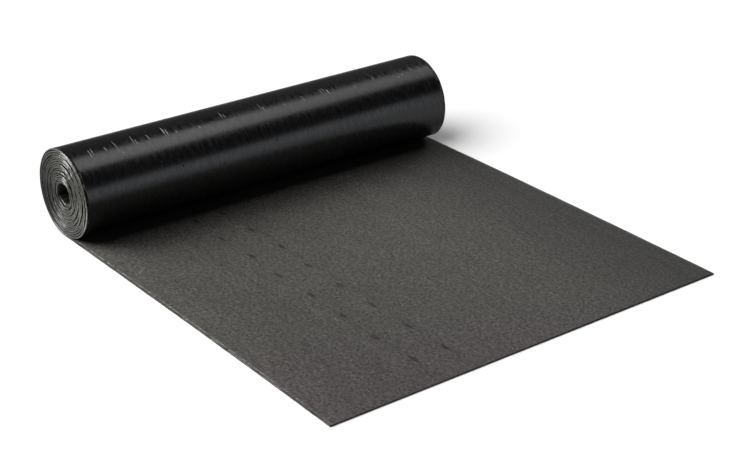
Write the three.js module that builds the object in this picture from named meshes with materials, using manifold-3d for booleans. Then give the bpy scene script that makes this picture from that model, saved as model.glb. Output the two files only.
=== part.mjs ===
// A roll of torch-on roofing felt, partly unrolled on a level floor. Millimetres, +Z up.
//
// The felt is one sheet of reinforced bitumen, wound on nothing: its innermost turn is the wall of the bore.
// The free end lies flat along +X, and the roll stands on its outermost turn, with its axis along Y.
// The origin is the middle of the footprint, on the floor.
//
// All the turns follow one Archimedean spiral. Its angle is 0 on the line where the sheet leaves the floor,
// and it grows round the back (-X), over the top, down the front and so on inwards to the sheet's inner end.
import * as THREE from "three";
import { mergeVertices } from "three/addons/utils/BufferGeometryUtils.js";
import Module from "manifold-3d";

// The sheet
const SHEET_WIDTH = 1000; // along the roll's axis
const SHEET_THICKNESS = 4.2;
const SHEET_LENGTH = 7500; // from the free end to the inner end
const FLAT_LENGTH = 1000; // the unrolled part of it

// The winding
const BORE_RADIUS = 23; // at the sheet's inner end
const TURN_GAP = 0.6; // air between one turn and the next
const GAP_DEPTH = 15; // how far in from each end the turns stand clear of each other

// The faceting: a facet's middle is at most this far inside the true curve, and less than a turn gap.
const FACET_SAG = Math.min(0.25, TURN_GAP / 2);
const FACET_STEP = 6; // a turn's facets come in multiples of this, so that most neighbours line up
const SLIVER = 0.02; // a facet is wider than this angle

const FULL_TURN = 2 * Math.PI;
const PITCH = SHEET_THICKNESS + TURN_GAP;
const WOUND_LENGTH = SHEET_LENGTH - FLAT_LENGTH;

// The length of a spiral is the area of the ring that it fills, divided by its pitch.
const INNER_RADIUS = BORE_RADIUS + SHEET_THICKNESS / 2;
const OUTER_RADIUS = Math.sqrt(INNER_RADIUS ** 2 + (PITCH * WOUND_LENGTH) / Math.PI);
const WOUND_ANGLE = (FULL_TURN * (OUTER_RADIUS - INNER_RADIUS)) / PITCH;

// The axis is as high as the sheet's underside is far from it, where the sheet leaves the floor.
const AXIS_HEIGHT = OUTER_RADIUS + SHEET_THICKNESS / 2;
const BACK_REACH = AXIS_HEIGHT - PITCH / 4;
const AXIS_X = (BACK_REACH - FLAT_LENGTH) / 2;
const FREE_END_X = AXIS_X + FLAT_LENGTH;

// The radius of the sheet's middle layer
function sheetRadius(angle) {
  return OUTER_RADIUS - (PITCH * angle) / FULL_TURN;
}

// A point of the wound sheet's section. Height is counted through the sheet from its underside, which is
// the side that faces outwards in the roll.
function woundPoint(angle, height) {
  const radius = sheetRadius(angle) + SHEET_THICKNESS / 2 - height;
  return new THREE.Vector2(AXIS_X - radius * Math.sin(angle), AXIS_HEIGHT - radius * Math.cos(angle));
}

// The facets of one turn, counted from the outermost
function facetsInTurn(turn) {
  const facetAngle = 2 * Math.acos(1 - FACET_SAG / sheetRadius(turn * FULL_TURN));
  return FACET_STEP * Math.ceil(FULL_TURN / facetAngle / FACET_STEP);
}

// The angles where the wound sheet has a vertex. The small turns have fewer.
function facetAngles() {
  const angles = [];
  for (let turn = 0; turn * FULL_TURN < WOUND_ANGLE; turn++) {
    const facets = facetsInTurn(turn);
    for (let i = 0; i < facets; i++) angles.push(FULL_TURN * (turn + i / facets));
  }
  return angles;
}

// One face of the sheet, from one angle inwards to another
function woundFace(from, to, height) {
  const between = facetAngles().filter((angle) => angle > from + SLIVER && angle < to - SLIVER);
  return [from, ...between, to].map((angle) => woundPoint(angle, height));
}

// The sheet's own section: flat from the free end, wound to the inner end, and back along its other face
function sheetSection() {
  return new THREE.Shape([
    new THREE.Vector2(FREE_END_X, 0),
    ...woundFace(0, WOUND_ANGLE, 0),
    ...woundFace(0, WOUND_ANGLE, SHEET_THICKNESS).reverse(),
    new THREE.Vector2(FREE_END_X, SHEET_THICKNESS),
  ]);
}

// The same with its turns closed up: the flat part, the outermost turn round a solid body, and the bore
function closedSection() {
  const section = new THREE.Shape([
    new THREE.Vector2(FREE_END_X, 0),
    ...woundFace(0, FULL_TURN, 0),
    woundPoint(0, SHEET_THICKNESS),
    new THREE.Vector2(FREE_END_X, SHEET_THICKNESS),
  ]);
  const boreWall = woundFace(WOUND_ANGLE - FULL_TURN, WOUND_ANGLE, SHEET_THICKNESS);
  section.holes.push(new THREE.Path(boreWall.reverse()));
  return section;
}

// A section in X and Z, drawn out to a length along Y, half of it each way from the origin
function alongAxis(section, length) {
  const geometry = new THREE.ExtrudeGeometry(section, { depth: length, bevelEnabled: false });
  geometry.translate(0, 0, -length / 2);
  geometry.rotateX(Math.PI / 2);
  return geometry;
}

const wasm = await Module();
wasm.setup();

function toSolid(geometry) {
  geometry.deleteAttribute("normal");
  geometry.deleteAttribute("uv");
  const merged = mergeVertices(geometry);
  const vertProperties = merged.attributes.position.array;
  const triVerts = new Uint32Array(merged.index.array);
  return new wasm.Manifold(new wasm.Mesh({ numProp: 3, vertProperties, triVerts }));
}

function toGeometry(solid) {
  const mesh = solid.getMesh();
  const geometry = new THREE.BufferGeometry();
  geometry.setAttribute("position", new THREE.BufferAttribute(mesh.vertProperties, 3));
  geometry.setIndex(new THREE.BufferAttribute(mesh.triVerts, 1));
  geometry.computeVertexNormals();
  return geometry;
}

// The turns stand clear of each other where they show, at both ends, and are one body between.
function feltGeometry() {
  const sheet = toSolid(alongAxis(sheetSection(), SHEET_WIDTH));
  const closedBody = toSolid(alongAxis(closedSection(), SHEET_WIDTH - 2 * GAP_DEPTH));
  return toGeometry(sheet.add(closedBody));
}

const bitumenFelt = new THREE.MeshStandardMaterial({
  name: "bitumen_felt",
  color: "#3b3a38",
  roughness: 0.8,
  metalness: 0,
  flatShading: true,
});

const feltSheet = new THREE.Mesh(feltGeometry(), bitumenFelt);
feltSheet.name = "felt_sheet";

const feltRoll = new THREE.Group();
feltRoll.add(feltSheet);

export default feltRoll;
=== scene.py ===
"""A partly unrolled roll of torch-on roofing felt, on a pale floor in soft light. Metres, +Z up."""

import math

import bpy
from mathutils import Euler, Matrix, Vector


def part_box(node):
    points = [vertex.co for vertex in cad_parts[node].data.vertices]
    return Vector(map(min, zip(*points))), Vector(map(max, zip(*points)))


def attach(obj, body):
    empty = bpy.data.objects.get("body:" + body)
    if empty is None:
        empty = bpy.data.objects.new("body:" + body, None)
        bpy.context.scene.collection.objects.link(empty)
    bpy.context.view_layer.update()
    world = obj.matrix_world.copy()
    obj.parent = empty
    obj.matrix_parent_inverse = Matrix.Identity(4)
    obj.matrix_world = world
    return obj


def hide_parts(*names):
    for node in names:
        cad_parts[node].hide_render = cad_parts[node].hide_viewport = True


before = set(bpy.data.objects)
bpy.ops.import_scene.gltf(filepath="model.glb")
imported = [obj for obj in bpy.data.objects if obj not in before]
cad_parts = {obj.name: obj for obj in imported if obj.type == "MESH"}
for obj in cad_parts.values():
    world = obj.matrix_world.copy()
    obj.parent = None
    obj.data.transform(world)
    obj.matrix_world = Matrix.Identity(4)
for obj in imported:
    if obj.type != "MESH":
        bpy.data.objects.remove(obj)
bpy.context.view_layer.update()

# ---------------------------------------------------------------------------------------------------------
# Camera
# It stands in front of the free end and to the left, at the height of someone looking down on the roll.
# A long lens at about four metres keeps the two ends of the roll nearly the same size.

CAMERA_PLACE = Vector((2.6643, -2.0503, 1.6102))
CAMERA_HEADING = math.radians(142.226)  # from +X towards +Y
CAMERA_DIP = math.radians(25.046)

camera_data = bpy.data.cameras.new("camera")
camera_data.lens = 82.02
camera_data.sensor_width = 36.0
camera = bpy.data.objects.new("camera", camera_data)
camera.location = CAMERA_PLACE
camera.rotation_euler = Euler((math.pi / 2 - CAMERA_DIP, 0, CAMERA_HEADING - math.pi / 2))
bpy.context.scene.collection.objects.link(camera)
bpy.context.scene.camera = camera

# ---------------------------------------------------------------------------------------------------------
# The felt sheet
# One sheet of torch-on felt: a polyester fleece soaked and coated with bitumen on a calender, sanded on
# top, with a burn-off film underneath. It is wound sanded side in, on nothing, and its last metre lies flat.
# All its turns follow one Archimedean spiral, whose angle is 0 on the line where the sheet leaves the floor.

WIDTH = 1.0
THICKNESS = 0.0042
LENGTH = 7.5
FLAT_LENGTH = 1.0
BORE_RADIUS = 0.023
TURN_GAP = 0.0006

PITCH = THICKNESS + TURN_GAP
INNER_RADIUS = BORE_RADIUS + THICKNESS / 2
OUTER_RADIUS = math.sqrt(INNER_RADIUS**2 + PITCH * (LENGTH - FLAT_LENGTH) / math.pi)
OUTER_TURN_LENGTH = 2 * math.pi * OUTER_RADIUS


def add(tree, kind, inputs=(), **settings):
    """Adds a node with its settings. An input, by name or in order, takes a value, a socket or a node."""
    node = tree.nodes.new(kind)
    for name, value in settings.items():
        setattr(node, name, value)
    for key, value in inputs.items() if isinstance(inputs, dict) else enumerate(inputs):
        source = value.outputs[0] if isinstance(value, bpy.types.Node) else value
        if isinstance(source, bpy.types.NodeSocket):
            tree.links.new(source, node.inputs[key])
        else:
            node.inputs[key].default_value = source
    return node


def linear(hex_colour):
    """An sRGB hex colour as the linear colour that a shader takes."""
    channels = [int(hex_colour[i : i + 2], 16) / 255 for i in (1, 3, 5)]
    return [c / 12.92 if c <= 0.04045 else ((c + 0.055) / 1.055) ** 2.4 for c in channels] + [1.0]


def sheet_coordinates(tree, size_along, size_across):
    """Where a point is on the sheet before it is wound, counted in steps of the two sizes."""
    along = add(tree, "ShaderNodeAttribute", attribute_name="along").outputs["Fac"]
    across = add(tree, "ShaderNodeAttribute", attribute_name="across").outputs["Fac"]
    place = add(tree, "ShaderNodeCombineXYZ", [along, across])
    return add(
        tree, "ShaderNodeVectorMath", [place, (1 / size_along, 1 / size_across, 1)], operation="MULTIPLY"
    )


def new_material(name):
    """A material with nothing in its node tree yet. Returns it and the tree."""
    material = bpy.data.materials.new(name)
    material.use_nodes = True
    material.node_tree.nodes.clear()
    return material, material.node_tree


# The burn-off film on the underside, which faces outwards in the roll: a thin polyethylene film, pressed on
# to hot black bitumen, so it is glossy and black. The press drags fine lines along the sheet, 3 mm apart,
# that are duller or brighter than their neighbours and fray the edges of what the film reflects.
def burn_off_film():
    material, tree = new_material("burn_off_film")
    drag_lines = add(
        tree,
        "ShaderNodeTexNoise",
        {"Vector": sheet_coordinates(tree, 0.06, 0.0032), "Scale": 1.0, "Detail": 3.0, "Roughness": 0.6},
    )
    smears = add(
        tree,
        "ShaderNodeTexNoise",
        {"Vector": sheet_coordinates(tree, 0.016, 0.011), "Scale": 1.0, "Detail": 2.0},
    )
    swells = add(
        tree,
        "ShaderNodeTexNoise",
        {"Vector": sheet_coordinates(tree, 0.1, 0.08), "Scale": 1.0, "Detail": 2.0},
    )
    line_dullness = add(tree, "ShaderNodeMapRange", [drag_lines, 0.32, 0.68, 0.2, 0.32])
    smear_dullness = add(tree, "ShaderNodeMapRange", [smears, 0.35, 0.65, -0.03, 0.05])
    dullness = add(tree, "ShaderNodeMath", [line_dullness, smear_dullness], operation="ADD")
    line_bump = add(tree, "ShaderNodeBump", {"Strength": 0.6, "Distance": 0.00003, "Height": drag_lines})
    bump = add(
        tree, "ShaderNodeBump", {"Strength": 1.0, "Distance": 0.0006, "Height": swells, "Normal": line_bump}
    )
    shader = add(
        tree,
        "ShaderNodeBsdfPrincipled",
        {
            "Base Color": linear("#020203"),
            "Roughness": dullness,
            "IOR": 1.5,
            "Specular IOR Level": 0.8,
            "Normal": bump,
        },
    )
    add(tree, "ShaderNodeOutputMaterial", [shader])
    return material


# The top, which faces inwards in the roll: fine sand and talc, rolled into the bitumen while it is hot, so
# that the turns don't stick together. It is matt, dark and a little warm. The grains are 0.3 mm, and are
# drawn as clumps of 3 to 6 mm so that they show. Stones on the press roller have left rows of dents in it.
SAND_DARK = linear("#161615")
SAND_PALE = linear("#5b5954")
SAND_DUSTY = linear("#5e5756")  # where the free end's near corner has been handled
SAND_SPECK = linear("#6a6965")
GLINT_INSIDE = 0.0045  # how far in from the cut edge the painted highlight lies
GLINT_WIDTH = 0.003
GLINT_FADES = 0.2  # the length at the free end over which it fades
GLINT_LEFT = 0.35  # and the share of it that is left at the end itself
DARK_RIM_WIDTH = 0.003  # beside the cut, outside the painted highlight, the top is darker
DARKEST_RIM = 0.001  # and this much, next to the cut, is darkest
FALLOFF_LENGTH = 0.9  # the length at the free end that painted shade darkens
BORE_LENGTHS = (0.4, 0.2)  # how far short of the inner end painted shade starts to darken it, and is darkest
DENT_ROWS = ((-0.158, 1.0), (-0.237, 0.9), (-0.305, 0.3))  # how far across the sheet, and how deep
DENT_SPACING = 0.1133  # round the press roller
DENT_HALF_LENGTH = 0.02
DENT_HALF_WIDTH = 0.0065
DENT_STRAY = 0.005  # how far a dent lies to either side of its row
FIRST_DENT = 0.097
BANDS_DRAGGED_AND_LIT = (  # how far across, how wide, and how much darker than the rest, or paler
    # the first two are painted light falloff: darker towards the far side, paler at the near side
    (0.5, 0.38, 0.57),
    (-0.5, 0.12, -0.26),
    (0.447, 0.016, 0.12),
    (0.21, 0.012, 0.05),
    (0.14, 0.008, 0.06),
    (-0.155, 0.02, 0.08),
    (-0.235, 0.018, 0.07),
    (-0.3, 0.01, 0.05),
    (-0.42, 0.012, 0.05),
)


def sanded_top():
    material, tree = new_material("sanded_top")
    across = add(tree, "ShaderNodeAttribute", attribute_name="across").outputs["Fac"]
    along = add(tree, "ShaderNodeAttribute", attribute_name="along").outputs["Fac"]
    grain = add(
        tree,
        "ShaderNodeTexNoise",
        {"Vector": sheet_coordinates(tree, 0.0064, 0.0064), "Scale": 1.0, "Detail": 1.0, "Roughness": 0.7},
    )
    clumps = add(
        tree,
        "ShaderNodeTexNoise",
        {"Vector": sheet_coordinates(tree, 0.016, 0.012), "Scale": 1.0, "Detail": 1.0},
    )
    clouds = add(
        tree,
        "ShaderNodeTexNoise",
        {"Vector": sheet_coordinates(tree, 0.09, 0.05), "Scale": 1.0, "Detail": 3.0},
    )
    drag = add(
        tree,
        "ShaderNodeTexNoise",
        {"Vector": sheet_coordinates(tree, 1.5, 0.012), "Scale": 1.0, "Detail": 2.0},
    )
    cells = add(
        tree, "ShaderNodeTexVoronoi", {"Vector": sheet_coordinates(tree, 0.0045, 0.0045), "Scale": 1.0}
    )

    sand = add(tree, "ShaderNodeMix", data_type="RGBA")
    coverage = add(tree, "ShaderNodeMapRange", [grain, 0.22, 0.78, 0, 1])
    tree.links.new(coverage.outputs[0], sand.inputs["Factor"])
    sand.inputs["A"].default_value = SAND_DARK
    from_corner = add(tree, "ShaderNodeMath", [across, 0.4, along], operation="MULTIPLY_ADD")
    dusty = add(tree, "ShaderNodeMapRange", [from_corner, -0.05, 0.2, 1, 0])
    pale = add(tree, "ShaderNodeMix", {"Factor": dusty}, data_type="RGBA")
    pale.inputs["A"].default_value = SAND_PALE
    pale.inputs["B"].default_value = SAND_DUSTY
    tree.links.new(pale.outputs["Result"], sand.inputs["B"])

    # One clump in seventy is a pale stone.
    pick = add(tree, "ShaderNodeSeparateColor", [cells.outputs["Color"]])
    speck = add(tree, "ShaderNodeMath", [pick, 0.985], operation="GREATER_THAN")
    core = add(tree, "ShaderNodeMapRange", [cells, 0.25, 0.5, 1, 0])
    speck_share = add(tree, "ShaderNodeMath", [speck, core], operation="MULTIPLY")
    stones = add(tree, "ShaderNodeMix", {"Factor": speck_share}, data_type="RGBA")
    tree.links.new(sand.outputs["Result"], stones.inputs["A"])
    stones.inputs["B"].default_value = SAND_SPECK

    # Thin and thick places, the lines that the press has dragged, spots where bitumen has come through, and
    # painted light falloff across the sheet
    cloud_shade = add(tree, "ShaderNodeMapRange", [clouds, 0.3, 0.7, 0.9, 1.08])
    drag_shade = add(tree, "ShaderNodeMapRange", [drag, 0.3, 0.7, 0.93, 1.05])
    shade = add(tree, "ShaderNodeMath", [cloud_shade, drag_shade], operation="MULTIPLY")
    clump_shade = add(tree, "ShaderNodeMapRange", [clumps, 0.25, 0.75, 0.78, 1.22])
    shade = add(tree, "ShaderNodeMath", [shade, clump_shade], operation="MULTIPLY")
    spots = add(tree, "ShaderNodeTexVoronoi", {"Vector": sheet_coordinates(tree, 0.042, 0.034), "Scale": 1.0})
    spot_shade = add(tree, "ShaderNodeMapRange", [spots, 0.04, 0.075, 0.5, 1])
    shade = add(tree, "ShaderNodeMath", [shade, spot_shade], operation="MULTIPLY")
    for place, reach, depth in BANDS_DRAGGED_AND_LIT:
        distance = add(tree, "ShaderNodeMath", [across, place], operation="SUBTRACT")
        distance = add(tree, "ShaderNodeMath", [distance], operation="ABSOLUTE")
        band = add(
            tree, "ShaderNodeMapRange", [distance, 0, reach, 1 - depth, 1], interpolation_type="SMOOTHSTEP"
        )
        shade = add(tree, "ShaderNodeMath", [shade, band], operation="MULTIPLY")

    # A painted highlight beside the cut, in short lengths, stands for the glint along the cut's top corner.
    # It fades near the free end.
    from_middle = add(tree, "ShaderNodeMath", [across], operation="ABSOLUTE")
    from_glint = add(tree, "ShaderNodeMath", [from_middle, WIDTH / 2 - GLINT_INSIDE], operation="SUBTRACT")
    from_glint = add(tree, "ShaderNodeMath", [from_glint], operation="ABSOLUTE")
    glint_lengths = add(
        tree,
        "ShaderNodeTexNoise",
        {"Vector": sheet_coordinates(tree, 0.018, 0.5), "Scale": 1.0, "Detail": 2.0},
    )
    glint_gain = add(tree, "ShaderNodeMapRange", [glint_lengths, 0.35, 0.65, 0.4, 2.6])
    painted_glint = add(
        tree, "ShaderNodeMapRange", [from_glint, 0, GLINT_WIDTH, 1, 0], interpolation_type="SMOOTHSTEP"
    )
    glint_left = add(tree, "ShaderNodeMapRange", [along, 0, GLINT_FADES, GLINT_LEFT, 1])
    painted_glint = add(tree, "ShaderNodeMath", [painted_glint, glint_left], operation="MULTIPLY")
    glint_shade = add(tree, "ShaderNodeMath", [painted_glint, glint_gain, 1], operation="MULTIPLY_ADD")
    shade = add(tree, "ShaderNodeMath", [shade, glint_shade], operation="MULTIPLY")

    # Outside the painted highlight, the last millimetres are darker.
    dark_rim_from = WIDTH / 2 - DARK_RIM_WIDTH
    dark_rim_to = WIDTH / 2 - DARKEST_RIM
    dark_rim = add(tree, "ShaderNodeMapRange", [from_middle, dark_rim_from, dark_rim_to, 1, 0.35])
    shade = add(tree, "ShaderNodeMath", [shade, dark_rim], operation="MULTIPLY")

    # The sheet is painted a little darker towards its free end, as painted light falloff, and much darker in
    # the bore, as painted shade.
    free_end_painted_shade = add(tree, "ShaderNodeMapRange", [along, 0, FALLOFF_LENGTH, 0.84, 1.04])
    shade = add(tree, "ShaderNodeMath", [shade, free_end_painted_shade], operation="MULTIPLY")
    bore_from, bore_to = (LENGTH - short_of_end for short_of_end in BORE_LENGTHS)
    bore_painted_shade = add(tree, "ShaderNodeMapRange", [along, bore_from, bore_to, 1, 0.25])
    shade = add(tree, "ShaderNodeMath", [shade, bore_painted_shade], operation="MULTIPLY")

    # The dents: an oval every turn of the roller, in each row
    turns = add(tree, "ShaderNodeMapRange", [along, FIRST_DENT, FIRST_DENT + DENT_SPACING, 0, 1], clamp=False)
    nearest = add(tree, "ShaderNodeMath", [turns], operation="ROUND")
    off_turn = add(tree, "ShaderNodeMath", [turns, nearest], operation="SUBTRACT")
    off_along = add(tree, "ShaderNodeMath", [off_turn, DENT_SPACING / DENT_HALF_LENGTH], operation="MULTIPLY")
    dents = 0.0
    for place, depth in DENT_ROWS:
        row_seed = add(tree, "ShaderNodeMath", [nearest, place * 100], operation="ADD")
        chance = add(tree, "ShaderNodeTexWhiteNoise", {"W": row_seed}, noise_dimensions="1D")
        stray = add(tree, "ShaderNodeMapRange", [chance, 0, 1, place - DENT_STRAY, place + DENT_STRAY])
        off_row = add(tree, "ShaderNodeMath", [across, stray], operation="SUBTRACT")
        off_across = add(tree, "ShaderNodeMath", [off_row, 1 / DENT_HALF_WIDTH], operation="MULTIPLY")
        away = add(tree, "ShaderNodeVectorMath", operation="LENGTH")
        tree.links.new(add(tree, "ShaderNodeCombineXYZ", [off_along, off_across]).outputs[0], away.inputs[0])
        own_depth = add(tree, "ShaderNodeMapRange", [chance, 0, 1, depth * 0.75, depth])
        dent = add(
            tree,
            "ShaderNodeMapRange",
            [away.outputs["Value"], 0.35, 1, own_depth, 0],
            interpolation_type="SMOOTHSTEP",
        )
        dents = add(tree, "ShaderNodeMath", [dents, dent], operation="MAXIMUM")
    dent_shade = add(tree, "ShaderNodeMapRange", [dents, 0, 1, 1, 0.1])
    shade = add(tree, "ShaderNodeMath", [shade, dent_shade], operation="MULTIPLY")
    shaded = add(tree, "ShaderNodeVectorMath", [stones.outputs["Result"]], operation="SCALE")
    tree.links.new(shade.outputs[0], shaded.inputs["Scale"])

    grain_bump = add(tree, "ShaderNodeBump", {"Strength": 0.4, "Distance": 0.0003, "Height": grain})
    cloud_bump = add(
        tree, "ShaderNodeBump", {"Strength": 1.0, "Distance": 0.0004, "Height": clouds, "Normal": grain_bump}
    )
    bump = add(
        tree,
        "ShaderNodeBump",
        {"Strength": 1.0, "Distance": 0.001, "Height": dents, "Normal": cloud_bump},
        invert=True,
    )
    shader = add(
        tree,
        "ShaderNodeBsdfPrincipled",
        {"Base Color": shaded, "Roughness": 0.85, "IOR": 1.5, "Normal": bump},
    )
    add(tree, "ShaderNodeOutputMaterial", [shader])
    return material


# The cut edges and ends: the knife leaves the threads of the fleece and the filler in the bitumen bare, so
# they are greyer than the faces. It drags the film a little way over the edge, which is glossy there.
THREAD_PATCHES = (110, 110, 2.5)  # to the metre along and across, and to the thickness of the sheet
SCORE_PATCHES = (35, 35, 6)
PALE_FROM = (0.3, 0.4)  # how far up the outermost turn its stretch of painted light begins, and is palest
PALE_TO = (0.62, 0.7)  # and where it fades, and ends
PALE_GAIN = 1.6
TAIL_EDGE_SHADE = 0.35  # painted shade on the flat part's edge
TAIL_EDGE_FADE = 0.1  # the length before the roll over which that ends
END_PAINTED_LIGHT = (  # painted shade and light on the near end: its place, how far it is full and where it is gone, and its shade
    ((-0.553, -0.5, 0.078), 0.025, 0.09, 0.3),  # painted shade, behind
    ((-0.355, -0.5, 0.085), 0.015, 0.05, 1.9),  # painted light, in front
)
BARE_FLEECE_INSIDE = 0.021  # how far in from the inner end the fleece hangs out


def cut_edge():
    material, tree = new_material("cut_edge")
    through = add(tree, "ShaderNodeAttribute", attribute_name="through").outputs["Fac"]
    along = add(tree, "ShaderNodeAttribute", attribute_name="along").outputs["Fac"]
    across = add(tree, "ShaderNodeAttribute", attribute_name="across").outputs["Fac"]
    place = add(tree, "ShaderNodeCombineXYZ", [along, across, through])
    thread_place = add(tree, "ShaderNodeVectorMath", [place, THREAD_PATCHES], operation="MULTIPLY")
    threads = add(
        tree, "ShaderNodeTexNoise", {"Vector": thread_place, "Scale": 1.0, "Detail": 2.0, "Roughness": 0.6}
    )
    score_place = add(tree, "ShaderNodeVectorMath", [place, SCORE_PATCHES], operation="MULTIPLY")
    scores = add(
        tree, "ShaderNodeTexNoise", {"Vector": score_place, "Scale": 1.0, "Detail": 1.0, "Roughness": 0.6}
    )

    # From the film through the lower bitumen, the fleece and the upper bitumen to the sand
    layers = add(tree, "ShaderNodeValToRGB", [through])
    ramp = layers.color_ramp
    ramp.elements[0].color = linear("#4a4a46")
    ramp.elements[1].color = linear("#1a1a18")
    for place_through, colour in ((0.2, "#66665f"), (0.42, "#5e5e58"), (0.56, "#22221f")):
        ramp.elements.new(place_through).color = linear(colour)
    thread_shade = add(tree, "ShaderNodeMapRange", [threads, 0.3, 0.7, 0.2, 1.8])

    # The outermost turn's edge is painted paler in front, as painted light. The flat part's edge is painted
    # darker, as painted shade.
    pale_start, pale_full = (FLAT_LENGTH + up for up in PALE_FROM)
    pale_fade, pale_end = (FLAT_LENGTH + up for up in PALE_TO)
    fades_in = add(tree, "ShaderNodeMapRange", [along, pale_start, pale_full, 1.0, PALE_GAIN])
    fades_out = add(tree, "ShaderNodeMapRange", [along, pale_fade, pale_end, PALE_GAIN, 1.0])
    painted_pale = add(tree, "ShaderNodeMath", [fades_in, fades_out], operation="MINIMUM")
    edge_shade = add(tree, "ShaderNodeMath", [thread_shade, painted_pale], operation="MULTIPLY")
    tail_edge_to = FLAT_LENGTH - TAIL_EDGE_FADE
    tail_edge_shade = add(tree, "ShaderNodeMapRange", [along, tail_edge_to, FLAT_LENGTH, TAIL_EDGE_SHADE, 1])
    edge_shade = add(tree, "ShaderNodeMath", [edge_shade, tail_edge_shade], operation="MULTIPLY")

    # The near end has a patch of painted shade behind and one of painted light in front.
    solid_place = add(tree, "ShaderNodeTexCoord").outputs["Object"]
    for mark_place, full, gone, shade in END_PAINTED_LIGHT:
        distance = add(tree, "ShaderNodeVectorMath", [solid_place, mark_place], operation="DISTANCE")
        mark = add(
            tree,
            "ShaderNodeMapRange",
            [distance.outputs["Value"], full, gone, shade, 1.0],
            interpolation_type="SMOOTHSTEP",
        )
        edge_shade = add(tree, "ShaderNodeMath", [edge_shade, mark], operation="MULTIPLY")
    tone = add(tree, "ShaderNodeVectorMath", [layers], operation="SCALE")
    tree.links.new(edge_shade.outputs[0], tone.inputs["Scale"])

    # The fleece hangs out bare and pale just before the inner end.
    from_bare = add(tree, "ShaderNodeMath", [along, LENGTH - BARE_FLEECE_INSIDE], operation="SUBTRACT")
    from_bare = add(tree, "ShaderNodeMath", [from_bare], operation="ABSOLUTE")
    bareness = add(tree, "ShaderNodeMapRange", [from_bare, 0.006, 0.012, 0.16, 0])
    fleece_share = add(tree, "ShaderNodeMath", [bareness, threads], operation="MULTIPLY")
    fleece_share = add(tree, "ShaderNodeMapRange", [fleece_share, 0.06, 0.09, 0, 0.8])
    fleece = add(tree, "ShaderNodeMix", {"Factor": fleece_share}, data_type="RGBA")
    tree.links.new(tone.outputs[0], fleece.inputs["A"])
    fleece.inputs["B"].default_value = linear("#c4c4bc")

    # The film's side is smooth, where the knife has dragged the film over. From the fleece on it is duller.
    dullness = add(tree, "ShaderNodeMapRange", [through, 0.35, 0.5, 0.18, 0.4])
    own_dullness = add(tree, "ShaderNodeMapRange", [threads, 0.35, 0.6, 0.8, 1.25])
    dullness = add(tree, "ShaderNodeMath", [dullness, own_dullness], operation="MULTIPLY")
    thread_bump = add(tree, "ShaderNodeBump", {"Strength": 0.5, "Distance": 0.0003, "Height": threads})
    bump = add(
        tree,
        "ShaderNodeBump",
        {"Strength": 0.7, "Distance": 0.0003, "Height": scores, "Normal": thread_bump},
    )
    shader = add(
        tree,
        "ShaderNodeBsdfPrincipled",
        {
            "Base Color": fleece.outputs["Result"],
            "Roughness": dullness,
            "IOR": 1.6,
            "Specular IOR Level": 0.7,
            "Normal": bump,
        },
    )
    add(tree, "ShaderNodeOutputMaterial", [shader])
    return material


# The sheet is stiff, so its outer turns stand off the roll on top, in front and at the belly, and then tuck
# in under it. Each happens between two angles, in degrees round from where the sheet leaves the floor.
STANDS_OFF = {"Crown rise": (100, 165), "Nose rise": (256, 276), "Belly rise": (262, 303)}
TUCKS_IN = (313, 347)
SLACK_TAKEN_UP = 0.2  # the length of sheet over which the turns under the outermost draw in from it
PRESSES_ROUND = 1.3  # how fine the dents in the bore are
PLAY_CHANGES = 2.3  # to the metre


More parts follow.
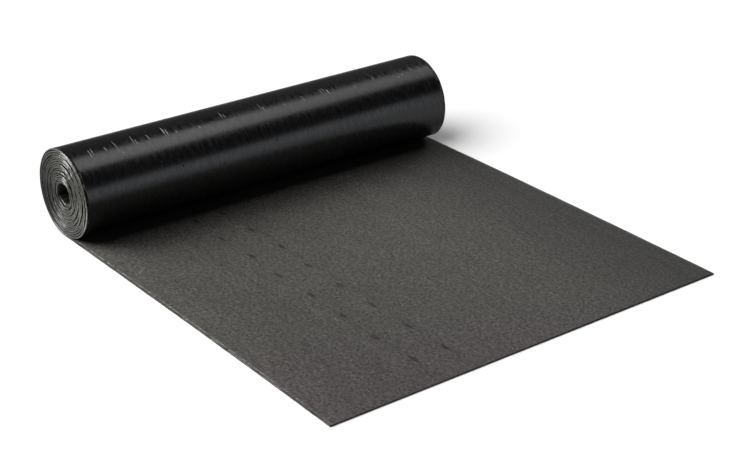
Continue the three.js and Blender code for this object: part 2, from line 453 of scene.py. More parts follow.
def wind(tree, given, along, across, height):
    """Where a point of the flat sheet goes. Height counts from the film, and outwards is below it."""
    flat = add(tree, "ShaderNodeMath", [along, given["Flat length"]], operation="MINIMUM")
    wound = add(tree, "ShaderNodeMath", [along, flat], operation="SUBTRACT")
    outer_square = add(tree, "ShaderNodeMath", [given["Outer radius"], 2.0], operation="POWER")
    pitch_share = add(tree, "ShaderNodeMath", [given["Pitch"], -1 / math.pi], operation="MULTIPLY")
    square = add(tree, "ShaderNodeMath", [wound, pitch_share, outer_square], operation="MULTIPLY_ADD")
    radius = add(tree, "ShaderNodeMath", [square], operation="SQRT")
    turned_in = add(tree, "ShaderNodeMath", [given["Outer radius"], radius], operation="SUBTRACT")
    turns = add(tree, "ShaderNodeMath", [turned_in, given["Pitch"]], operation="DIVIDE")
    angle = add(tree, "ShaderNodeMath", [turns, 2 * math.pi], operation="MULTIPLY")
    sine = add(tree, "ShaderNodeMath", [angle], operation="SINE")
    cosine = add(tree, "ShaderNodeMath", [angle], operation="COSINE")

    # The inner turns are pressed out of round, all together, and the inner end has sprung into the bore.
    depth = add(tree, "ShaderNodeMapRange", [radius, given["Outer radius"], given["Inner radius"], 0, 1])
    around = add(tree, "ShaderNodeCombineXYZ", [sine, cosine, depth])
    press = add(tree, "ShaderNodeTexNoise", {"Vector": around, "Scale": PRESSES_ROUND, "Detail": 1.0})
    press_share = add(tree, "ShaderNodeMapRange", [press, 0.3, 0.7, -0.5, 0.5])
    dent = add(tree, "ShaderNodeMath", [press_share, given["Bore dent"]], operation="MULTIPLY")
    dent = add(tree, "ShaderNodeMath", [dent, depth], operation="MULTIPLY")
    reach = given["Inner end reach"]
    spring_from = add(tree, "ShaderNodeMath", [given["Length"], reach], operation="SUBTRACT")
    spring = add(
        tree,
        "ShaderNodeMapRange",
        [along, spring_from, given["Length"], 0, given["Inner end spring"]],
        interpolation_type="SMOOTHSTEP",
    )
    taken_in = add(tree, "ShaderNodeMath", [spring, dent], operation="ADD")

    # The outermost turn is loose, and each turn lies nearer to one neighbour than to the other.
    on_floor = given["Flat length"]
    drawn_in_by = OUTER_TURN_LENGTH + SLACK_TAKEN_UP / 2
    second_turn = add(tree, "ShaderNodeMath", [on_floor, drawn_in_by], operation="ADD")
    first_turn_end = add(tree, "ShaderNodeMath", [second_turn, SLACK_TAKEN_UP], operation="SUBTRACT")
    under_slack = add(
        tree,
        "ShaderNodeMapRange",
        [along, first_turn_end, second_turn, 0, given["Outer slack"]],
        interpolation_type="SMOOTHSTEP",
    )
    play = add(
        tree,
        "ShaderNodeTexNoise",
        {"W": along, "Scale": PLAY_CHANGES, "Detail": 1.0},
        noise_dimensions="1D",
    )
    play_share = add(tree, "ShaderNodeMapRange", [play, 0.3, 0.7, -1, 1])
    own_play = add(tree, "ShaderNodeMapRange", [along, on_floor, first_turn_end, 0, given["Turn play"]])
    taken_in = add(tree, "ShaderNodeMath", [taken_in, under_slack], operation="ADD")
    taken_in = add(tree, "ShaderNodeMath", [play_share, own_play, taken_in], operation="MULTIPLY_ADD")

    # The outer turns stand off the roll, each less than the one over it, and tuck in again under it.
    turns_over = add(tree, "ShaderNodeMath", [turns], operation="FLOOR")
    looseness = add(tree, "ShaderNodeMapRange", [turns_over, 0, given["Loose turns"], 1, 0])
    turn_share = add(tree, "ShaderNodeMath", [turns, turns_over], operation="SUBTRACT")
    turned_by = add(tree, "ShaderNodeMath", [turn_share, 2 * math.pi], operation="MULTIPLY")
    crown, nose, belly = [
        add(
            tree,
            "ShaderNodeMapRange",
            [turned_by, math.radians(start), math.radians(end), 0, given[rise]],
            interpolation_type="SMOOTHSTEP",
        )
        for rise, (start, end) in STANDS_OFF.items()
    ]
    towards_far_end = add(tree, "ShaderNodeMapRange", [across, -WIDTH / 2, WIDTH / 2, 0, 1])
    standing_off = add(tree, "ShaderNodeMath", [belly, towards_far_end, nose], operation="MULTIPLY_ADD")
    standing_off = add(tree, "ShaderNodeMath", [standing_off, crown], operation="ADD")
    tuck_start, tuck_end = (math.radians(angle) for angle in TUCKS_IN)
    untucked = add(
        tree,
        "ShaderNodeMapRange",
        [turned_by, tuck_start, tuck_end, 1, 0],
        interpolation_type="SMOOTHSTEP",
    )
    standing_off = add(tree, "ShaderNodeMath", [standing_off, untucked], operation="MULTIPLY")
    standing_off = add(tree, "ShaderNodeMath", [standing_off, looseness], operation="MULTIPLY")
    taken_in = add(tree, "ShaderNodeMath", [taken_in, standing_off], operation="SUBTRACT")

    # The radius of this face, and from it the place
    own_radius = add(tree, "ShaderNodeMath", [radius, taken_in], operation="SUBTRACT")
    half_thick = add(tree, "ShaderNodeMath", [given["Thickness"], 0.5], operation="MULTIPLY")
    skin_radius = add(tree, "ShaderNodeMath", [own_radius, half_thick], operation="ADD")
    face_radius = add(tree, "ShaderNodeMath", [skin_radius, height], operation="SUBTRACT")
    back = add(tree, "ShaderNodeMath", [face_radius, sine], operation="MULTIPLY")
    below = add(tree, "ShaderNodeMath", [face_radius, cosine], operation="MULTIPLY")
    leaves_floor = add(tree, "ShaderNodeMath", [given["Free end"], flat], operation="SUBTRACT")
    across_floor = add(tree, "ShaderNodeMath", [leaves_floor, back], operation="SUBTRACT")
    x = add(tree, "ShaderNodeMath", [depth, given["Bore forward"], across_floor], operation="MULTIPLY_ADD")
    axis_height = add(tree, "ShaderNodeMath", [given["Outer radius"], half_thick], operation="ADD")
    level = add(tree, "ShaderNodeMath", [axis_height, below], operation="SUBTRACT")
    drop = add(tree, "ShaderNodeMath", [depth, given["Bore drop"]], operation="MULTIPLY")
    z = add(tree, "ShaderNodeMath", [level, drop], operation="SUBTRACT")

    # The turns have crept along the roll, one way at the back and the other in front.
    leaned = add(tree, "ShaderNodeMath", [given["End lean"], -1.0], operation="MULTIPLY")
    y = add(tree, "ShaderNodeMath", [back, leaned, across], operation="MULTIPLY_ADD")
    return add(tree, "ShaderNodeCombineXYZ", [x, y, z])


def new_shape_tree(name, values):
    """A node tree with one named input for each value. Returns the tree and its inputs' sockets."""
    tree = bpy.data.node_groups.new(name, "GeometryNodeTree")
    kinds = {float: "NodeSocketFloat", int: "NodeSocketInt", bpy.types.Material: "NodeSocketMaterial"}
    tree.interface.new_socket("Geometry", in_out="INPUT", socket_type="NodeSocketGeometry")
    for value_name, value in values.items():
        tree.interface.new_socket(value_name, in_out="INPUT", socket_type=kinds[type(value)])
    tree.interface.new_socket("Geometry", in_out="OUTPUT", socket_type="NodeSocketGeometry")
    return tree, add(tree, "NodeGroupInput").outputs


BORDER = 0.008  # how far in from each edge the mesh is finer
RIM = 0.002  # and how far in its last step reaches, which the worn corners take up
RIDGES = (30, 1100, 5)  # to the metre along the cut and through it, and from one side to the other
WANDERS = 6.0  # to the metre
JAGS = 70.0  # to the metre
JAG_SHARE = 0.2  # how far a jag stands out, as a share of the wander


def flat_slab(tree, given, steps):
    """A slab one metre each way, with a station for every step. Its faces get their materials here, while
    their normals still tell them apart."""
    stations = [
        add(tree, "ShaderNodeMath", [count, 1], operation="ADD")
        for count in (steps, given["Across steps"], given["Through steps"])
    ]
    slab = add(tree, "GeometryNodeMeshCube", [(1, 1, 1), *stations])
    facing = add(tree, "ShaderNodeSeparateXYZ", [add(tree, "GeometryNodeInputNormal")]).outputs["Z"]
    up = add(tree, "FunctionNodeCompare", {0: facing, 1: 0.5}, operation="GREATER_THAN")
    down = add(tree, "FunctionNodeCompare", {0: facing, 1: -0.5}, operation="LESS_THAN")
    felt = add(tree, "GeometryNodeSetMaterial", {"Geometry": slab, "Material": given["Edge"]})
    for side, material in ((up, "Top"), (down, "Underside")):
        felt = add(
            tree,
            "GeometryNodeSetMaterial",
            {"Geometry": felt, "Selection": side, "Material": given[material]},
        )
    fold = add(tree, "GeometryNodeInputMeshEdgeAngle")
    corner = add(tree, "FunctionNodeCompare", {0: fold, 1: 1.0}, operation="GREATER_THAN")
    felt = add(tree, "GeometryNodeSetShadeSmooth", {"Geometry": felt, "Shade Smooth": True}, domain="FACE")
    return add(
        tree,
        "GeometryNodeSetShadeSmooth",
        {"Geometry": felt, "Selection": corner, "Shade Smooth": False},
        domain="EDGE",
    )


def station_along(tree, given, step, steps):
    """How far along the sheet a station is, and its radius: even steps when flat, shorter in small turns."""
    flat = add(tree, "ShaderNodeMapRange", [step, 0, given["Flat steps"], 0, given["Flat length"]])
    outer_bulk = add(tree, "ShaderNodeMath", [given["Outer radius"], 1.5], operation="POWER")
    inner_bulk = add(tree, "ShaderNodeMath", [given["Inner radius"], 1.5], operation="POWER")
    bulk = add(tree, "ShaderNodeMapRange", [step, given["Flat steps"], steps, outer_bulk, inner_bulk])
    radius = add(tree, "ShaderNodeMath", [bulk, 2 / 3], operation="POWER")
    turned_in = add(tree, "ShaderNodeMath", [given["Outer radius"], radius], operation="SUBTRACT")
    mean_radius = add(tree, "ShaderNodeMath", [given["Outer radius"], radius], operation="ADD")
    ring = add(tree, "ShaderNodeMath", [turned_in, mean_radius], operation="MULTIPLY")
    turn_share = add(tree, "ShaderNodeMath", [math.pi, given["Pitch"]], operation="DIVIDE")
    return add(tree, "ShaderNodeMath", [ring, turn_share, flat], operation="MULTIPLY_ADD"), radius


def worn_back(tree, given, along, side, height):
    """How far knife and handling have worn the cut back: at both its corners, and between torn threads."""
    other_side = add(tree, "ShaderNodeMath", [given["Thickness"], height], operation="SUBTRACT")
    wear_to = add(tree, "ShaderNodeMath", [given["Flat length"], given["Wear to"]], operation="ADD")
    wear_from = add(tree, "ShaderNodeMath", [given["Flat length"], given["Wear from"]], operation="ADD")
    wear = add(tree, "ShaderNodeMapRange", [along, wear_from, wear_to, given["Tail corner"], 1])
    depth_share = add(tree, "ShaderNodeMath", [wear, given["Corner depth"]], operation="MULTIPLY")
    worn = 0.0
    for corner_name, distance in (("Film corner", height), ("Sand corner", other_side)):
        corner_size = given[corner_name]
        near = add(tree, "ShaderNodeMapRange", [distance, 0, corner_size, 1, 0])
        squared = add(tree, "ShaderNodeMath", [near, 2.0], operation="POWER")
        left_over = add(tree, "ShaderNodeMath", [1, squared], operation="SUBTRACT")
        crown = add(tree, "ShaderNodeMath", [left_over], operation="SQRT")
        dip = add(tree, "ShaderNodeMath", [1, crown], operation="SUBTRACT")
        corner_depth = add(tree, "ShaderNodeMath", [corner_size, depth_share], operation="MULTIPLY")
        worn = add(tree, "ShaderNodeMath", [dip, corner_depth, worn], operation="MULTIPLY_ADD")
    ridge_place = add(tree, "ShaderNodeCombineXYZ", [along, height, side])
    ridge_place = add(tree, "ShaderNodeVectorMath", [ridge_place, RIDGES], operation="MULTIPLY")
    ridges = add(tree, "ShaderNodeTexNoise", {"Vector": ridge_place, "Scale": 1.0, "Detail": 1.0})
    ridge_share = add(tree, "ShaderNodeMapRange", [ridges, 0.25, 0.75, -1, 1])
    ragged = add(tree, "ShaderNodeMath", [ridge_share, given["Cut ridges"]], operation="MULTIPLY")
    return add(tree, "ShaderNodeMath", [worn, ragged], operation="ADD")


def crept(tree, given, along, across, radius):
    """How far across a point is once its turn has crept out of its neighbours at the roll's ends, or in."""
    swings = add(
        tree, "ShaderNodeTexNoise", {"W": along, "Scale": WANDERS, "Detail": 2.0}, noise_dimensions="1D"
    )
    jags = add(tree, "ShaderNodeTexNoise", {"W": along, "Scale": JAGS, "Detail": 2.0}, noise_dimensions="1D")
    held_to = add(tree, "ShaderNodeMath", [given["Flat length"], given["Wander from"]], operation="ADD")
    free_from = add(tree, "ShaderNodeMath", [held_to, given["Wander grows"]], operation="ADD")
    wander = add(tree, "ShaderNodeMapRange", [along, held_to, free_from, 0, given["Edge wander"]])
    swing_share = add(tree, "ShaderNodeMapRange", [swings, 0.25, 0.75, -1, 1])
    jag_share = add(tree, "ShaderNodeMapRange", [jags, 0.25, 0.75, -JAG_SHARE, JAG_SHARE])
    stray_share = add(tree, "ShaderNodeMath", [swing_share, jag_share], operation="ADD")
    slid = add(
        tree,
        "ShaderNodeMapRange",
        [radius, given["Outer radius"], given["Inner radius"], 0, given["Telescope"]],
    )
    strayed = add(tree, "ShaderNodeMath", [stray_share, wander, across], operation="MULTIPLY_ADD")
    return add(tree, "ShaderNodeMath", [strayed, slid], operation="ADD")


def laid_askew(tree, given, along, across, cut_along, cut_place):
    """Where a point is along and across once the last metre is rolled out askew, in a slight bow."""
    run = add(tree, "ShaderNodeMapRange", [along, given["Flat length"], 0, 0, 1])
    at_roll = given["Askew at roll"]
    strayed_to = add(tree, "ShaderNodeMath", [given["Flat length"], given["Askew settles"]], operation="ADD")
    strayed = add(
        tree,
        "ShaderNodeMapRange",
        [along, given["Flat length"], strayed_to, at_roll, 0],
        interpolation_type="SMOOTHSTEP",
    )
    turned = add(tree, "ShaderNodeMath", [given["Askew at end"], at_roll], operation="SUBTRACT")
    run_left = add(tree, "ShaderNodeMath", [1, run], operation="SUBTRACT")
    bow = add(tree, "ShaderNodeMath", [given["Tail bow"], 4.0], operation="MULTIPLY")
    bow = add(tree, "ShaderNodeMath", [bow, run_left, turned], operation="MULTIPLY_ADD")
    askew = add(tree, "ShaderNodeMath", [bow, run, strayed], operation="MULTIPLY_ADD")
    cut_place = add(tree, "ShaderNodeMath", [cut_place, askew], operation="ADD")
    slackened = add(
        tree, "ShaderNodeMath", [given["Flat length"], given["Spread grows"]], operation="SUBTRACT"
    )
    spread = add(
        tree, "ShaderNodeMapRange", [along, given["Flat length"], slackened, 0, given["Tail spread"]]
    )
    cut_place = add(tree, "ShaderNodeMath", [across, spread, cut_place], operation="MULTIPLY_ADD")
    near_corner = add(tree, "ShaderNodeMapRange", [across, -WIDTH / 2, WIDTH / 2, 1, 0])
    short_by = add(
        tree, "ShaderNodeMath", [near_corner, given["End slant"], given["End trim"]], operation="MULTIPLY_ADD"
    )
    cut_along = add(tree, "ShaderNodeMath", [short_by, run, cut_along], operation="MULTIPLY_ADD")
    return cut_along, cut_place


def sheet_tree(values):
    """Makes a slab of the sheet's size and winds it. X runs along the slab, Y across it and Z through it."""
    tree, given = new_shape_tree("wound_sheet", values)
    steps = add(tree, "ShaderNodeMath", [given["Flat steps"], given["Wound steps"]], operation="ADD")
    felt = flat_slab(tree, given, steps)
    place = add(tree, "ShaderNodeSeparateXYZ", [add(tree, "GeometryNodeInputPosition")]).outputs
    from_free_end = add(tree, "ShaderNodeMath", [0.5, place["X"]], operation="SUBTRACT")
    step = add(tree, "ShaderNodeMath", [from_free_end, steps], operation="MULTIPLY")
    along, radius = station_along(tree, given, step, steps)

    # How far across and through it is. The last steps before each edge are short, to round the corners.
    sideways = add(tree, "ShaderNodeMath", [place["Y"]], operation="ABSOLUTE")
    side = add(tree, "ShaderNodeMath", [place["Y"]], operation="SIGN")
    half_width = add(tree, "ShaderNodeMath", [given["Width"], 0.5], operation="MULTIPLY")
    one_step = add(tree, "ShaderNodeMath", [1, given["Across steps"]], operation="DIVIDE")
    rim_from = add(tree, "ShaderNodeMath", [0.5, one_step], operation="SUBTRACT")
    border_from = add(tree, "ShaderNodeMath", [rim_from, one_step], operation="SUBTRACT")
    border_inside = add(tree, "ShaderNodeMath", [half_width, BORDER], operation="SUBTRACT")
    to_border = add(tree, "ShaderNodeMapRange", [sideways, 0, border_from, 0, border_inside])
    over_border = add(tree, "ShaderNodeMapRange", [sideways, border_from, rim_from, 0, BORDER - RIM])
    over_rim = add(tree, "ShaderNodeMapRange", [sideways, rim_from, 0.5, 0, RIM])
    offside = add(tree, "ShaderNodeMath", [to_border, over_border], operation="ADD")
    offside = add(tree, "ShaderNodeMath", [offside, over_rim], operation="ADD")
    across = add(tree, "ShaderNodeMath", [offside, side], operation="MULTIPLY")
    through = add(tree, "ShaderNodeMath", [place["Z"], 0.5], operation="ADD")
    height = add(tree, "ShaderNodeMath", [through, given["Thickness"]], operation="MULTIPLY")
    for name, value in (("along", along), ("across", across), ("through", through)):
        felt = add(tree, "GeometryNodeStoreNamedAttribute", {"Geometry": felt, "Name": name, "Value": value})

    # The cut is worn back along both sides and at both ends, and only there.
    back_off = worn_back(tree, given, along, side, height)
    at_rim = add(tree, "ShaderNodeMapRange", [sideways, rim_from, 0.5, 0, side])
    last_step = add(tree, "ShaderNodeMath", [steps, 1], operation="SUBTRACT")
    at_free_end = add(tree, "ShaderNodeMapRange", [step, 0, 1, 1, 0])
    at_inner_end = add(tree, "ShaderNodeMapRange", [step, last_step, steps, 0, -1])
    at_end = add(tree, "ShaderNodeMath", [at_free_end, at_inner_end], operation="ADD")
    cut_across = add(tree, "ShaderNodeMath", [back_off, at_rim], operation="MULTIPLY")
    cut_along = add(tree, "ShaderNodeMath", [back_off, at_end, along], operation="MULTIPLY_ADD")

    own_across = crept(tree, given, along, across, radius)
    cut_place = add(tree, "ShaderNodeMath", [own_across, cut_across], operation="SUBTRACT")
    cut_along, cut_place = laid_askew(tree, given, along, across, cut_along, cut_place)
    wound_place = wind(tree, given, cut_along, cut_place, height)
    felt = add(tree, "GeometryNodeSetPosition", {"Geometry": felt, "Position": wound_place})
    felt = add(tree, "GeometryNodeRealizeInstances", [felt])
    add(tree, "NodeGroupOutput", [felt])
    return tree


def build(name, tree, values, points=()):
    """Runs a tree on a new object's points with these inputs. The result is an object with a plain mesh."""
    start = bpy.data.meshes.new(name)
    start.from_pydata(points, [], [])
    piece = bpy.data.objects.new(name, start)
    bpy.context.scene.collection.objects.link(piece)
    modifier = piece.modifiers.new(name, "NODES")
    modifier.node_group = tree
    for socket in tree.interface.items_tree:
        if socket.in_out == "INPUT" and socket.name in values:
            modifier[socket.identifier] = values[socket.name]
    made = bpy.data.meshes.new_from_object(piece.evaluated_get(bpy.context.evaluated_depsgraph_get()))
    piece.modifiers.clear()
    piece.data = made
    made.name = name
    return piece


film = burn_off_film()

# What every tree that winds something is given, and then what the sheet's own tree is given besides
winding_values = {
    "Thickness": THICKNESS,
    "Length": LENGTH,
    "Flat length": FLAT_LENGTH,
    "Free end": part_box("felt_sheet")[1].x,
    "Inner radius": INNER_RADIUS,
    "Outer radius": OUTER_RADIUS,
    "Pitch": PITCH,
    "Turn play": 0.00028,  # how far a turn lies nearer to one neighbour than to the other
    "Outer slack": 0.0002,  # how loose the outermost turn is
    "Loose turns": 3.0,  # how many turns stand off the roll, each of them less than the turn over it
    "Crown rise": 0.0008,  # how far the outermost of them does so on top
    "Nose rise": 0.0012,  # how much further in front, before it tucks in under the roll
    "Belly rise": 0.0034,  # and how much further still lower down, at the far end
    "Bore dent": 0.003,  # how far the innermost turns are pressed out of round
    "Bore forward": 0.0003,  # how far they sit in front of the middle of the outer ones
    "Bore drop": 0.0015,  # and below it
    "Inner end spring": 0.004,  # how far the inner end has sprung into the bore
    "Inner end reach": 0.035,  # the length of sheet that does so
    "End lean": 0.0125,  # how far a roll's end leans from square, as a slope
}
sheet_values = winding_values | {
    "Width": WIDTH,
    "Film corner": 0.0018,  # how far through the sheet the cut edge is rounded, from the film
    "Sand corner": 0.0009,  # and from the sand
    "Corner depth": 1.2,  # how deep that goes in from the edge, as a share of how far through
    "Tail corner": 0.35,  # the share of that depth on the flat part, which has rubbed on less in store
    "Wear from": 0.2,  # how far up the outermost turn the wear starts to deepen
    "Wear to": 0.35,  # and has all its depth
    "Cut ridges": 0.0005,  # how far the fleece's torn threads stand out of the cut edge, or lie back
    "Edge wander": 0.0032,  # how far a turn stands out of its neighbours at the roll's ends, or in
    "Wander from": 0.45,  # how far up the outermost turn that starts
    "Wander grows": 0.35,  # and over what length it grows
    "Telescope": 0.002,  # how far the innermost turn has slid along the roll, from its near end
    "Askew at roll": 0.0025,  # how far along the roll the sheet has strayed where it leaves the floor
    "Askew settles": 0.08,  # the length of the outermost turn that strays with it
    "Askew at end": -0.0097,  # how far it has strayed at its free end
    "Tail bow": 0.003,  # how far it bows between the two
    "Tail spread": 0.0022,  # how much wider it lies there, as a share, free of the winding's pull
    "Spread grows": 0.3,  # the length over which it comes to do so
    "End slant": 0.0036,  # how much shorter its near corner is, so that it ends square to its own run
    "End trim": 0.001,  # and how much shorter it is all the way across
    "Flat steps": 100,
    "Wound steps": 1300,
    "Across steps": 14,
    "Through steps": 16,
    "Top": sanded_top(),
    "Underside": film,
    "Edge": cut_edge(),
}
felt = build("felt", sheet_tree(sheet_values), sheet_values)
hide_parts("felt_sheet")
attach(felt, "root")

# ---------------------------------------------------------------------------------------------------------
# Creases and blisters in the film
# The film has puckered along the sheet where the last turn was pulled tight over stones in the turn below,
# and air is caught under it in a few places. Both are part of the film, and stand up to 0.7 mm proud.
# Each is given by its place across the sheet, its angle down from the roll's top, in front, and its length.

CREASES = (
    (-0.447, 24, 0.034),
    (-0.440, 20, 0.022),
    (-0.408, 22, 0.016),
    (-0.382, 21, 0.040),
    (-0.376, 38, 0.036),
    (-0.338, 17, 0.034),
    (-0.333, 23, 0.018),
    (-0.300, 22, 0.026),
    (-0.258, 17, 0.034),
    (-0.252, 20, 0.026),
    (-0.230, 24, 0.014),
    (-0.228, 57, 0.044),
    (-0.172, 26, 0.012),
    (-0.155, 55, 0.020),
    (-0.104, 14, 0.026),
    (-0.098, 18, 0.014),
    (-0.002, 20, 0.030),
    (0.004, 24, 0.016),
    (0.060, 27, 0.012),
    (0.115, 26, 0.022),
    (0.171, 22, 0.026),
    (0.179, 20, 0.018),
    (0.188, 24, 0.022),
    (0.262, 27, 0.012),
    (0.325, 22, 0.014),
    (0.440, 24, 0.018),
    (0.452, 33, 0.020),
    (0.463, 27, 0.022),
    (0.474, 38, 0.016),
    (0.481, 30, 0.018),
)
BLISTERS = (
    (0.118, 43, 0.008),
    (-0.010, 46, 0.005),
    (-0.146, 81, 0.007),
    (-0.250, 70, 0.005),
    (0.002, 70, 0.006),
    (0.190, 66, 0.008),
    (0.392, 31, 0.006),
    (0.405, 29, 0.005),
    (-0.300, 60, 0.007),
)
CREASE_WIDTH = 0.0017
CREASE_HEIGHT = 0.0007
BLISTER_WIDTH = 0.005
BLISTER_HEIGHT = 0.0007
SUNK = 0.00003  # how deep the foot of each is sunk in the sheet
SMALLEST = 0.6  # the least width and height, as a share of the most
LEAN = 0.1  # how far one may lie askew to the sheet's run, in radians


def on_last_turn(marks):
    """Points with the place along the sheet in x, across it in y, and the mark's length in z."""
    points = []
    for across, below_top, length in marks:
        angle = math.pi + math.radians(below_top)
        along = FLAT_LENGTH + OUTER_RADIUS * angle - PITCH * angle**2 / (4 * math.pi)
        points.append((along, across, length))
    return points


def pucker_tree(values):
    """Stands a small ridge on each point of the flat sheet, and winds them all with it."""
    tree, given = new_shape_tree("puckers", values)
    place = add(tree, "ShaderNodeSeparateXYZ", [add(tree, "GeometryNodeInputPosition")]).outputs
    marks = add(
        tree,
        "GeometryNodeStoreNamedAttribute",
        {"Geometry": given["Geometry"], "Name": "length", "Value": place["Z"]},
    )
    flat_place = add(tree, "ShaderNodeCombineXYZ", [place["X"], place["Y"]])
    marks = add(tree, "GeometryNodeSetPosition", {"Geometry": marks, "Position": flat_place})

    # One ridge, a metre long and wide and high: it rises and falls smoothly across, and tapers to its ends.
    # It is closed below by a flat face, and its two faces meet all round.
    slab = add(tree, "GeometryNodeMeshCube", [(1, 1, 1), 11, 9, 2])
    spot = add(tree, "ShaderNodeSeparateXYZ", [add(tree, "GeometryNodeInputPosition")]).outputs
    swing = add(tree, "ShaderNodeMath", [spot["Y"], math.pi], operation="MULTIPLY")
    crown = add(tree, "ShaderNodeMath", [swing], operation="COSINE")
    hump = add(tree, "ShaderNodeMath", [crown, 2.0], operation="POWER")
    run = add(tree, "ShaderNodeMath", [spot["X"], 2.0], operation="MULTIPLY")
    run_square = add(tree, "ShaderNodeMath", [run, run], operation="MULTIPLY")
    run_fourth = add(tree, "ShaderNodeMath", [run_square, run_square], operation="MULTIPLY")
    taper = add(tree, "ShaderNodeMath", [1.0, run_fourth], operation="SUBTRACT")
    rise = add(tree, "ShaderNodeMath", [hump, taper], operation="MULTIPLY")
    on_top = add(tree, "ShaderNodeMath", [spot["Z"], 0.0], operation="GREATER_THAN")
    own_rise = add(tree, "ShaderNodeMath", [rise, on_top], operation="MULTIPLY")
    ridge = add(
        tree,
        "GeometryNodeSetPosition",
        {"Geometry": slab, "Position": add(tree, "ShaderNodeCombineXYZ", [spot["X"], spot["Y"], own_rise])},
    )
    ridge = add(tree, "GeometryNodeMergeByDistance", {"Geometry": ridge, "Distance": 0.001})
    ridge = add(tree, "GeometryNodeSetShadeSmooth", {"Geometry": ridge, "Shade Smooth": True})

    share = add(tree, "FunctionNodeRandomValue", {"Min": SMALLEST, "Max": 1.0, "Seed": 4}, data_type="FLOAT")
    lean = add(tree, "FunctionNodeRandomValue", {"Min": -LEAN, "Max": LEAN, "Seed": 9}, data_type="FLOAT")
    share = [s for s in share.outputs if s.enabled][0]
    lean = [s for s in lean.outputs if s.enabled][0]
    length = add(tree, "GeometryNodeInputNamedAttribute", {"Name": "length"}, data_type="FLOAT")
    width = add(tree, "ShaderNodeMath", [given["Mark width"], share], operation="MULTIPLY")
    height = add(tree, "ShaderNodeMath", [given["Mark height"], share], operation="MULTIPLY")
    ridges = add(
        tree,
        "GeometryNodeInstanceOnPoints",
        {
            "Points": marks,
            "Instance": ridge,
            "Rotation": add(tree, "ShaderNodeCombineXYZ", [0.0, 0.0, lean]),
            "Scale": add(tree, "ShaderNodeCombineXYZ", [length, width, height]),
        },
    )
    ridges = add(tree, "GeometryNodeRealizeInstances", [ridges])
    spot = add(tree, "ShaderNodeSeparateXYZ", [add(tree, "GeometryNodeInputPosition")]).outputs
    for name, value in (("along", spot["X"]), ("across", spot["Y"])):
        stored = {"Geometry": ridges, "Name": name, "Value": value}
        ridges = add(tree, "GeometryNodeStoreNamedAttribute", stored)
    sunk = add(tree, "ShaderNodeMath", [SUNK, spot["Z"]], operation="SUBTRACT")
    ridges = add(
        tree,
        "GeometryNodeSetPosition",
        {"Geometry": ridges, "Position": wind(tree, given, spot["X"], spot["Y"], sunk)},
    )
    ridges = add(tree, "GeometryNodeSetMaterial", {"Geometry": ridges, "Material": given["Film"]})
    add(tree, "NodeGroupOutput", [ridges])
    return tree


for name, marks, width, height in (
    ("film_creases", CREASES, CREASE_WIDTH, CREASE_HEIGHT),
    ("film_blisters", BLISTERS, BLISTER_WIDTH, BLISTER_HEIGHT),
):
    mark_values = winding_values | {"Mark width": width, "Mark height": height, "Film": film}
    puckers = build(name, pucker_tree(mark_values), mark_values, on_last_turn(marks))
    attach(puckers, "root")

# ---------------------------------------------------------------------------------------------------------
# The studio
# The floor is in two sheets: a white one, which only the camera sees, and a grey one just below it, which
# keeps the light that comes up from it low. The key light is a large soft panel, far off behind the roll and
# beyond its near end. Three boxes in a row overhead, one behind beyond the far end and one low in front draw
# long highlights on the film. A bright card lies at the foot of the roll's near end, a faint wall stands
# further back, and the air round it all is dark. The white floor has a panel and a sky to itself, so that it
# is evenly white and the roll's shadow on it is wide and soft.

FLOOR_REACH = 12.0


def floor_sheet(name, level, colour):
    """A flat floor of one colour."""
    mesh = bpy.data.meshes.new(name)
    corners = [(x * FLOOR_REACH, y * FLOOR_REACH, level) for x, y in ((-1, -1), (1, -1), (1, 1), (-1, 1))]
    mesh.from_pydata(corners, [], [(0, 1, 2, 3)])
    sheet = bpy.data.objects.new(name, mesh)
    bpy.context.scene.collection.objects.link(sheet)
    paint, tree = new_material(name + "_paint")
    shader = add(tree, "ShaderNodeBsdfPrincipled", {"Base Color": linear(colour), "Roughness": 0.9})
    add(tree, "ShaderNodeOutputMaterial", [shader])
    mesh.materials.append(paint)
    return sheet


white_floor = floor_sheet("white_floor", -0.0002, "#fdfdfd")
white_floor.visible_diffuse = False
white_floor.visible_glossy = False
white_floor.visible_shadow = False
grey_floor = floor_sheet("grey_floor", -0.001, "#a6a6a6")
grey_floor.visible_camera = False


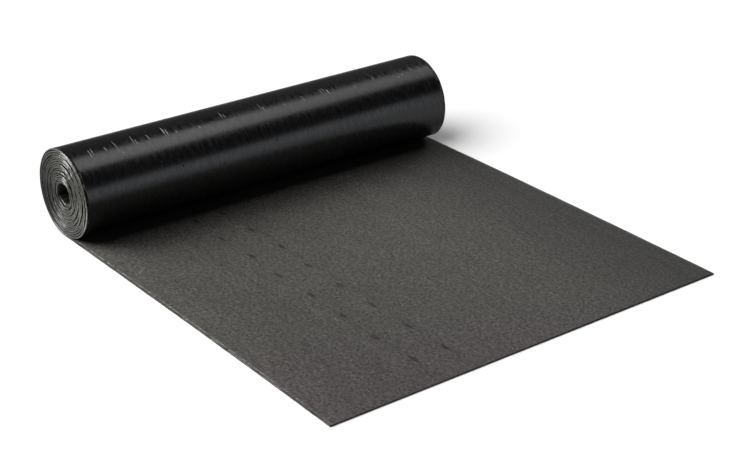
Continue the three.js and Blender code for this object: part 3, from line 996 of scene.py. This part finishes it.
def hang(light, place, heading, white_floor_is):
    """Hangs a light, turned along its heading. It lights the white floor alone, or everything but that."""
    lamp = bpy.data.objects.new(light.name, light)
    lamp.location = place
    lamp.rotation_euler = heading.to_track_quat("-Z", "Y").to_euler()
    lamp.visible_camera = False
    bpy.context.scene.collection.objects.link(lamp)
    told_apart = bpy.data.collections.new(light.name + "_floor")
    told_apart.objects.link(white_floor)
    told_apart.collection_objects[0].light_linking.link_state = white_floor_is
    lamp.light_linking.receiver_collection = told_apart


def soft_box(name, place, aim, width, height, brightness, colour="#ffffff"):
    """A rectangular light of an even brightness, turned to face a point."""
    light = bpy.data.lights.new(name, "AREA")
    light.shape = "RECTANGLE"
    light.size = width
    light.size_y = height
    light.energy = brightness * math.pi * width * height
    light.color = linear(colour)[:3]
    hang(light, place, Vector(aim) - Vector(place), "EXCLUDE")


def far_panel(name, heading, spread, strength, white_floor_is):
    """A round light, so far off that its light has one heading, give or take half its spread in degrees."""
    light = bpy.data.lights.new(name, "SUN")
    light.energy = strength
    light.angle = math.radians(spread)
    hang(light, (0, 0, 0), Vector(heading), white_floor_is)


far_panel("key", (0.504, 0.645, -0.574), 42, 4.4, "EXCLUDE")
soft_box("overhead", (-0.25, 0.85, 2.5), (-0.25, 0.85, 0), 1.5, 1.1, 1.55)
soft_box("overhead_near", (-0.25, -0.35, 2.5), (-0.25, -0.35, 0), 1.5, 1.1, 1.3)
soft_box("overhead_far", (-0.25, 1.95, 2.5), (-0.25, 1.95, 0), 1.5, 1.1, 1.15)
soft_box("rear", (-1.7, 3.93, 1.73), (-0.45, 0.5, 0.1), 1.6, 1.6, 5.0)
soft_box("front", (4.84, 2.44, 0.9), (-0.11, -0.56, 0.2), 3.7, 1.8, 0.79, "#f2f6ff")
soft_box("foot_card", (-0.3, -0.57, 0.002), (-0.3, -0.57, 1.0), 0.5, 0.08, 0.8)
soft_box("back", (-4.0, 2.5, 2.5), (0, 2.5, 2.5), 5.0, 5.0, 0.06)
far_panel("floor_key", (0.198, 0.74, -0.643), 70, 4.0, "INCLUDE")
far_panel("floor_sky", (0, 0, -1), 120, 0.96, "INCLUDE")

world = bpy.data.worlds.new("air")
world.use_nodes = True
bpy.context.scene.world = world
world.node_tree.nodes.clear()
air = add(world.node_tree, "ShaderNodeBackground", {"Color": linear("#ffffff"), "Strength": 0.04})
add(world.node_tree, "ShaderNodeOutputWorld", [air])
bpy.context.scene.view_settings.view_transform = "Standard"
